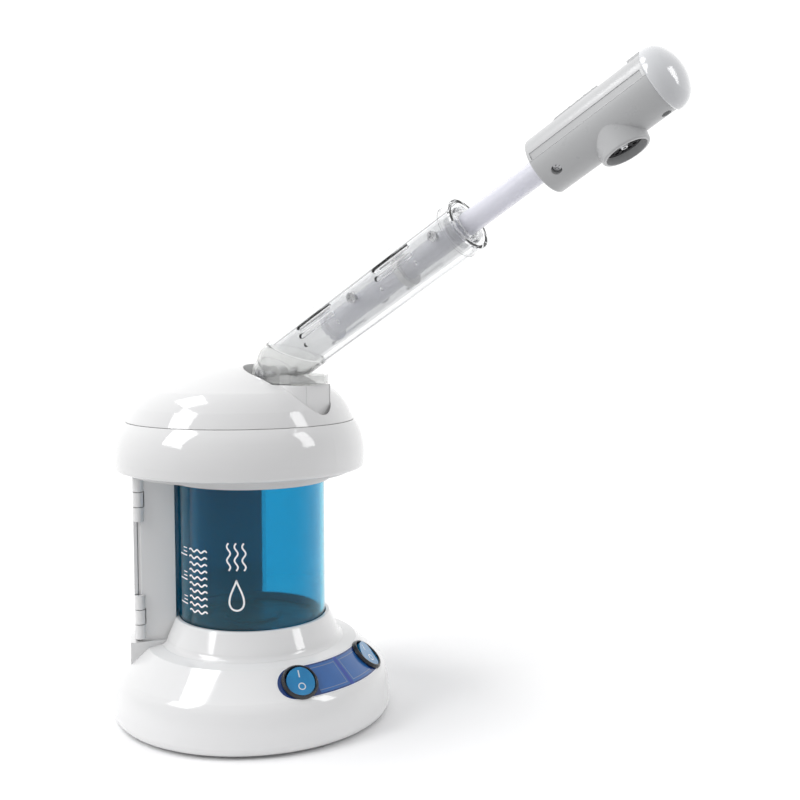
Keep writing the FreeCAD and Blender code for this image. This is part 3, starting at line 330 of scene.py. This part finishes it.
FIELD_BLUES = ((0.012, 0.090, 0.30), (0.018, 0.115, 0.36))
BAND_BLUES = ((0.004, 0.030, 0.15), (0.006, 0.040, 0.18))
DIVIDER_BLUE = (0.003, 0.040, 0.30)
LINE_GREY = (0.16, 0.21, 0.33)
RIM_WHITE = (0.80, 0.81, 0.83)


def step(shade, value, edge):
    """1 where value is above edge, with a short soft rise."""
    return shade.fade(value, edge - PRINT_SOFT, edge + PRINT_SOFT, 0.0, 1.0)


def stripe(shade, value, middle, half):
    """1 within half of the middle."""
    away = shade.math("ABSOLUTE", shade.math("SUBTRACT", value, middle))
    return shade.math("SUBTRACT", 1.0, step(shade, away, half))


def printed_panel():
    """Two blue fields in fine boxes, a divider, a darker band and a pale rim."""
    shade = Shade("panel_print", IOR=1.5, Coat_Weight=0.4, Coat_Roughness=0.05)
    x, y, z = shade.node("ShaderNodeSeparateXYZ", Vector=shade.coords).outputs
    azimuth = shade.math("ARCTAN2", y, x)
    inward = shade.math("SUBTRACT", shade.length(x, y), MIDDLE.x)
    rise = shade.math("SUBTRACT", z, MIDDLE.z)
    up = shade.math(
        "ADD", shade.math("MULTIPLY", inward, UPHILL.x), shade.math("MULTIPLY", rise, UPHILL.z),
    )
    past_end = shade.math("SUBTRACT", shade.math("ABSOLUTE", azimuth), PANEL_HALF)
    along = shade.math("MULTIPLY", shade.math("MAXIMUM", past_end, 0.0), MIDDLE.x)
    from_spine = shade.length(along, up)
    arc = shade.math("MULTIPLY", azimuth, MIDDLE.x)
    side = shade.math("ABSOLUTE", arc)

    tone = shade.ramp(shade.noise(60.0, 4.0), 0.0, 1.0)
    field = shade.mix(tone, *FIELD_BLUES)
    band = shade.mix(tone, *BAND_BLUES)
    between_switches = shade.math("SUBTRACT", 1.0, step(shade, side, BOX_OUTER_LIMIT))
    long_lines = stripe(shade, shade.math("ABSOLUTE", up), BOX_HALF_HEIGHT, LINE_HALF)
    short_lines = stripe(shade, side, BOX_INNER_SIDE, LINE_HALF)
    off_divider = step(shade, side, BOX_INNER_LIMIT)
    in_height = shade.math("SUBTRACT", 1.0, step(shade, from_spine, BOX_LIMIT))
    in_box = shade.math("MULTIPLY", between_switches, shade.math("MULTIPLY", off_divider, in_height))
    box_line = shade.math("MULTIPLY", shade.math("MAXIMUM", long_lines, short_lines), in_box)

    colour = shade.mix(between_switches, band, field)
    colour = shade.mix(step(shade, from_spine, BAND_START), colour, band)
    colour = shade.mix(box_line, colour, LINE_GREY)
    colour = shade.mix(stripe(shade, arc, 0.0, DIVIDER_HALF), colour, DIVIDER_BLUE)
    colour = shade.mix(step(shade, from_spine, RIM_START), colour, RIM_WHITE)
    shade.set("Base_Color", colour)
    shade.worn(0.16, 0.26).bumpy(1800.0, 0.06, 0.00004)
    finish_nodes(shade, "control_panel")


printed_panel()

# ---------------------------------------------------------------- rocker caps

BAR_HALF_WIDTH = 0.00035
BAR_MIDDLE = 0.0041
BAR_HALF_LENGTH = 0.0019
RING_BELOW = 0.0032
RING_RADIUS = 0.0019
RING_HALF_WIDTH = 0.0003
CAP_BLUES = ((0.001, 0.21, 0.50), (0.002, 0.28, 0.60))
MARK_WHITE = (0.86, 0.90, 0.92)


def rocker_cap(name, azimuth):
    """Glossy blue cap with a line for on and a circle for off."""
    turn = Matrix.Rotation(azimuth, 3, "Z")
    seat = turn @ MIDDLE
    shade = Shade(
        name + "_blue", IOR=1.45, Transmission_Weight=0.25, Coat_Weight=0.8, Coat_Roughness=0.03,
    )
    offset = shade.minus(shade.coords, tuple(seat))
    up = shade.dot(offset, tuple(turn @ UPHILL))
    across = shade.dot(offset, tuple(turn @ Vector((0, 1, 0))))
    bar = shade.math(
        "MULTIPLY",
        stripe(shade, across, 0.0, BAR_HALF_WIDTH),
        stripe(shade, up, BAR_MIDDLE, BAR_HALF_LENGTH),
    )
    reach = shade.length(shade.math("ADD", up, RING_BELOW), across)
    marks = shade.math("MAXIMUM", bar, stripe(shade, reach, RING_RADIUS, RING_HALF_WIDTH))
    tone = shade.ramp(shade.noise(120.0, 3.0), 0.0, 1.0)
    shade.set("Base_Color", shade.mix(marks, shade.mix(tone, *CAP_BLUES), MARK_WHITE))
    shade.worn(0.08, 0.16).bumpy(700.0, 0.05, 0.00004).rounded(0.0004)
    finish_nodes(shade, name)


rocker_cap("power_rocker", -SWITCH_AZIMUTH)
rocker_cap("ozone_rocker", SWITCH_AZIMUTH)

# ---------------------------------------------------------------- print on the tank

TANK_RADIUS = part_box("tank")[1].y
PRINT_LIFT = 0.00012
PRINT_RADIUS = TANK_RADIUS + PRINT_LIFT

WAVE_ROWS = 10
WAVE_TOP = 0.1030
WAVE_PITCH = 0.0040
WAVE_SPAN = (-101.5, -82.0)
WAVE_HEIGHT = 0.00075
WAVE_RIPPLES = 2.5
WAVE_STEPS = 40

LEVELS = (0.0990, 0.0845, 0.0700)
LEVEL_LONG = (-117, -114, -111, -108, -105)
LEVEL_SHORT = (-111, -109, -107, -105)
LEVEL_SPACING = 0.0022
LEVEL_STROKES = (0.0008, 0.0006)

MARK_AZIMUTH = -58.0
STROKE = 0.0010
DROP_STROKE = 0.0011
DROP_MIDDLE = 0.0790
DROP_HALF_WIDTH = 0.0062
DROP_HALF_HEIGHT = 0.0088
DROP_PINCH = 1.6
DROP_POINTS = 64
WISP_SPACING = 0.0045
WISP_FOOT = 0.0935
WISP_HEIGHT = 0.016
WISP_SWAY = 0.0010
WISP_RIPPLES = 2
WISP_STEPS = 30


def on_tank(arc, height):
    """A point on the tank, arc metres round from the front."""
    angle = arc / TANK_RADIUS
    return Vector((PRINT_RADIUS * math.cos(angle), PRINT_RADIUS * math.sin(angle), height))


def degrees_arc(angle):
    return math.radians(angle) * TANK_RADIUS


def ribbon(mesh, line, width, closed=False):
    """A flat printed stroke along a line of (arc, height) points."""
    count = len(line)
    rows = []
    for index, (arc, height) in enumerate(line):
        before = line[index - 1] if index or closed else line[0]
        after = line[(index + 1) % count] if index < count - 1 or closed else line[-1]
        way = Vector((after[0] - before[0], after[1] - before[1])).normalized()
        over = Vector((-way.y, way.x)) * (width / 2)
        rows.append([
            mesh.verts.new(on_tank(arc + over.x, height + over.y)),
            mesh.verts.new(on_tank(arc - over.x, height - over.y)),
        ])
    for index in range(count if closed else count - 1):
        first, second = rows[index], rows[(index + 1) % count]
        mesh.faces.new((first[0], first[1], second[1], second[0]))


def waves(mesh):
    start, end = degrees_arc(WAVE_SPAN[0]), degrees_arc(WAVE_SPAN[1])
    for row in range(WAVE_ROWS):
        height = WAVE_TOP - row * WAVE_PITCH
        line = []
        for index in range(WAVE_STEPS + 1):
            share = index / WAVE_STEPS
            rise = WAVE_HEIGHT * math.sin(share * 2 * math.pi * WAVE_RIPPLES)
            line.append((start + (end - start) * share, height + rise))
        ribbon(mesh, line, STROKE)


def level_marks(mesh):
    """At each water level, one long line with two short ones over it."""
    for height in LEVELS:
        ribbon(mesh, [(degrees_arc(angle), height) for angle in LEVEL_LONG], LEVEL_STROKES[0])
        for place in (1, 2):
            over = height + place * LEVEL_SPACING
            ribbon(mesh, [(degrees_arc(angle), over) for angle in LEVEL_SHORT], LEVEL_STROKES[1])


def water_drop(mesh):
    centre = degrees_arc(MARK_AZIMUTH)
    line = []
    for index in range(DROP_POINTS):
        turn = index / DROP_POINTS * 2 * math.pi
        pinch = math.sin(turn / 2) ** DROP_PINCH
        half = DROP_HALF_WIDTH * math.sin(turn) * pinch
        line.append((centre + half, DROP_MIDDLE + DROP_HALF_HEIGHT * math.cos(turn)))
    ribbon(mesh, line, DROP_STROKE, closed=True)


def steam_wisps(mesh):
    centre = degrees_arc(MARK_AZIMUTH)
    for place in (-1, 0, 1):
        line = []
        for index in range(WISP_STEPS + 1):
            share = index / WISP_STEPS
            sway = WISP_SWAY * math.sin(share * 2 * math.pi * WISP_RIPPLES)
            line.append((centre + place * WISP_SPACING + sway, WISP_FOOT + WISP_HEIGHT * share))
        ribbon(mesh, line, STROKE)


def tank_print():
    mesh = bmesh.new()
    waves(mesh)
    level_marks(mesh)
    water_drop(mesh)
    steam_wisps(mesh)
    data = bpy.data.meshes.new("tank_print")
    bmesh.ops.recalc_face_normals(mesh, faces=mesh.faces)
    mesh.to_mesh(data)
    mesh.free()
    for face in data.polygons:
        face.use_smooth = True
    obj = bpy.data.objects.new("tank_print", data)
    scene.collection.objects.link(obj)
    data.materials.append(ink.material)
    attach(obj, "root")


tank_print()

# ---------------------------------------------------------------- smooth CAD nodes

SHARP_ANGLE = math.radians(28.0)

for obj in nodes.values():
    for face in obj.data.polygons:
        face.use_smooth = True
    obj.data.set_sharp_from_angle(angle=SHARP_ANGLE)

# ---------------------------------------------------------------- floor, lights

FLOOR_RINGS = (0.4, 0.8, 1.3, 1.8)
FLOOR_SEGMENTS = 48
FLOOR_SOLID_TO = 0.12
FLOOR_GONE_AT = 0.42
LIT_POINT = Vector((0.0, 0.0, 0.12))
BACKDROP_WAY = (-0.588, 0.809, 0.0)
DIM_GREY = (0.46, 0.46, 0.465, 1.0)
BRIGHT_WHITE = (1.0, 1.0, 1.0, 1.0)
DIM_STOP = 0.42
BRIGHT_STOP = 0.86


def floor():
    """A pale disc that fades into the backdrop away from the part."""
    mesh = bmesh.new()
    centre = mesh.verts.new((0, 0, FLOOR))
    previous = None
    for reach in FLOOR_RINGS:
        row = []
        for index in range(FLOOR_SEGMENTS):
            angle = 2 * math.pi * index / FLOOR_SEGMENTS
            row.append(mesh.verts.new((reach * math.cos(angle), reach * math.sin(angle), FLOOR)))
        for index in range(FLOOR_SEGMENTS):
            following = (index + 1) % FLOOR_SEGMENTS
            if previous is None:
                mesh.faces.new((centre, row[index], row[following]))
            else:
                mesh.faces.new((previous[index], row[index], row[following], previous[following]))
        previous = row
    data = bpy.data.meshes.new("floor")
    mesh.to_mesh(data)
    mesh.free()
    obj = bpy.data.objects.new("floor", data)
    scene.collection.objects.link(obj)
    shade = Shade("floor_paper", Specular_IOR_Level=0.1)
    shade.varied((0.90, 0.90, 0.905), (0.93, 0.93, 0.935), 3.0)
    shade.worn(0.75, 0.9, 20.0)
    away = shade.distance(shade.coords, (0.0, 0.0, FLOOR))
    shade.set("Alpha", shade.fade(away, FLOOR_SOLID_TO, FLOOR_GONE_AT, 1.0, 0.0))
    data.materials.append(shade.material)


floor()


def softbox(name, azimuth, elevation, distance, width, height, power):
    """A rectangular light that faces the part, angles in degrees from its middle."""
    data = bpy.data.lights.new(name, "AREA")
    data.shape = "RECTANGLE"
    data.size, data.size_y = width, height
    data.energy = power
    obj = bpy.data.objects.new(name, data)
    scene.collection.objects.link(obj)
    turn, lift = math.radians(azimuth), math.radians(elevation)
    way = Vector((math.cos(turn) * math.cos(lift), math.sin(turn) * math.cos(lift), math.sin(lift)))
    obj.location = LIT_POINT + way * distance
    obj.rotation_mode = "QUATERNION"
    obj.rotation_quaternion = (-way).to_track_quat("-Z", "Y")


softbox("window_left", -112.0, 36.0, 1.5, 0.55, 0.80, 7.5)
softbox("window_high", -140.0, 60.0, 1.4, 0.50, 0.45, 4.5)
softbox("window_right", 20.0, 30.0, 1.7, 0.35, 0.80, 4.0)


def studio():
    """White behind the part, dimmer behind the place the picture is taken from."""
    world = bpy.data.worlds.new("studio")
    scene.world = world
    world.use_nodes = True
    tree = world.node_tree
    coords = tree.nodes.new("ShaderNodeTexCoord")
    facing = tree.nodes.new("ShaderNodeVectorMath")
    facing.operation = "DOT_PRODUCT"
    facing.inputs[1].default_value = BACKDROP_WAY
    tree.links.new(coords.outputs["Generated"], facing.inputs[0])
    share = tree.nodes.new("ShaderNodeMath")
    share.operation = "MULTIPLY_ADD"
    share.inputs[1].default_value, share.inputs[2].default_value = 0.5, 0.5
    tree.links.new(facing.outputs["Value"], share.inputs[0])
    tones = tree.nodes.new("ShaderNodeValToRGB")
    stops = tones.color_ramp.elements
    stops[0].position, stops[0].color = DIM_STOP, DIM_GREY
    stops[1].position, stops[1].color = BRIGHT_STOP, BRIGHT_WHITE
    tree.links.new(share.outputs[0], tones.inputs["Fac"])
    background = tree.nodes["Background"].inputs
    tree.links.new(tones.outputs["Color"], background["Color"])
    background["Strength"].default_value = 1.0


studio()
